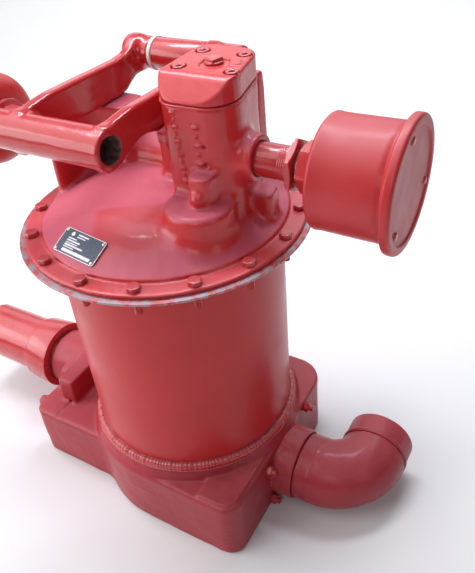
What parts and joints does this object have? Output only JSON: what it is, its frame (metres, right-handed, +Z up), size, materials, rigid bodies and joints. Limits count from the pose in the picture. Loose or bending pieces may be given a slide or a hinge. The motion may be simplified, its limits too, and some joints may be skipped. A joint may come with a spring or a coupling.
{
  "type": "pressure reducing valve",
  "caption": "Floor-standing flanged pressure reducing valve: round drum on a cast base, domed bolted cover with pilot tower, yoke lever, two silencers, side pipe inlet and elbow outlet.",
  "frame": {"origin": "on the drum's axis, on the ground under the base casting", "axes": "+Z up along the drum's axis, -X towards the inlet pipe, +X towards the right silencer and the outlet boss, +Y towards the pivot tube at the rear"},
  "size_m": [0.7063, 0.3428, 0.5976],
  "materials": {
    "red_painted_casting": "gloss",
    "red_painted_steel": "gloss",
    "red_painted_fasteners": "satin",
    "bare_steel": "satin",
    "spring_steel": "satin",
    "seat_brass": "satin",
    "white_nylon": "matte",
    "gasket_sheet": "matte",
    "plate_metal": "satin"
  },
  "bodies": {
    "valve_body": {"base_casting": "red_painted_casting", "inlet_sleeve": "red_painted_steel", "inlet_pipe": "red_painted_steel", "outlet_boss": "red_painted_steel", "outlet_elbow": "red_painted_steel", "outlet_end_sleeve": "red_painted_steel", "outlet_bolt_1": "red_painted_fasteners", "outlet_bolt_2": "red_painted_fasteners", "outlet_bolt_3": "red_painted_fasteners", "drum_shell": "red_painted_steel", "weld_bead": "red_painted_steel", "lower_flange": "red_painted_steel", "cover_gasket": "gasket_sheet", "cover_casting": "red_painted_casting", "cover_bolt_01": "red_painted_fasteners", "cover_bolt_02": "red_painted_fasteners", "cover_bolt_03": "red_painted_fasteners", "cover_bolt_04": "red_painted_fasteners", "cover_bolt_05": "red_painted_fasteners", "cover_bolt_06": "red_painted_fasteners", "cover_bolt_07": "red_painted_fasteners", "cover_bolt_08": "red_painted_fasteners", "cover_bolt_09": "red_painted_fasteners", "cover_bolt_10": "red_painted_fasteners", "cover_bolt_11": "red_painted_fasteners", "cover_bolt_12": "red_painted_fasteners", "cover_bolt_13": "red_painted_fasteners", "cover_bolt_14": "red_painted_fasteners", "cover_bolt_15": "red_painted_fasteners", "cover_bolt_16": "red_painted_fasteners", "nameplate": "plate_metal", "pilot_cap": "red_painted_casting", "cap_gasket": "gasket_sheet", "cap_screw_1": "red_painted_fasteners", "cap_screw_2": "red_painted_fasteners", "cap_screw_3": "red_painted_fasteners", "cap_screw_4": "red_painted_fasteners", "cap_plug": "red_painted_fasteners", "right_silencer_nipple": "red_painted_steel", "right_silencer_locknut": "red_painted_steel", "right_silencer_reducer": "red_painted_steel", "right_silencer_can": "red_painted_steel", "right_silencer_end_plate": "red_painted_steel", "left_silencer_nipple": "red_painted_steel", "left_silencer_locknut": "red_painted_steel", "left_silencer_reducer": "red_painted_steel", "left_silencer_can": "red_painted_steel", "left_silencer_end_plate": "red_painted_steel", "pivot_tube": "red_painted_steel", "pivot_shaft": "bare_steel", "left_thrust_washer": "white_nylon", "right_thrust_washer": "red_painted_steel", "valve_seat": "seat_brass", "stem_guide": "bare_steel", "main_spring": "spring_steel"},
    "yoke": {"yoke_frame": "red_painted_steel"},
    "main_valve": {"valve_plug": "bare_steel", "piston": "bare_steel"},
    "pilot": {"pilot_spool": "bare_steel"}
  },
  "joints": [
    {"name": "yoke_lift", "type": "hinge", "parent": "valve_body", "child": "yoke", "pos_m": [0, 0.1185, 0.5569], "axis": [-1, 0, 0], "range_deg": [0, 70]},
    {"name": "pilot_slide", "type": "slide", "parent": "valve_body", "child": "pilot", "axis": [0, 0, 1], "range_m": [0, 0.0125]},
    {"name": "main_valve_lift", "type": "slide", "parent": "valve_body", "child": "main_valve", "axis": [0, 0, 1], "range_m": [0, 0.02], "stiffness_N_per_m": 20000, "springref_m": -0.01, "deforming": ["main_spring"]}
  ],
  "couplings": [
    {"joint": "pilot_slide", "follows": "yoke_lift", "m_per_rad": 0.01}
  ]
}
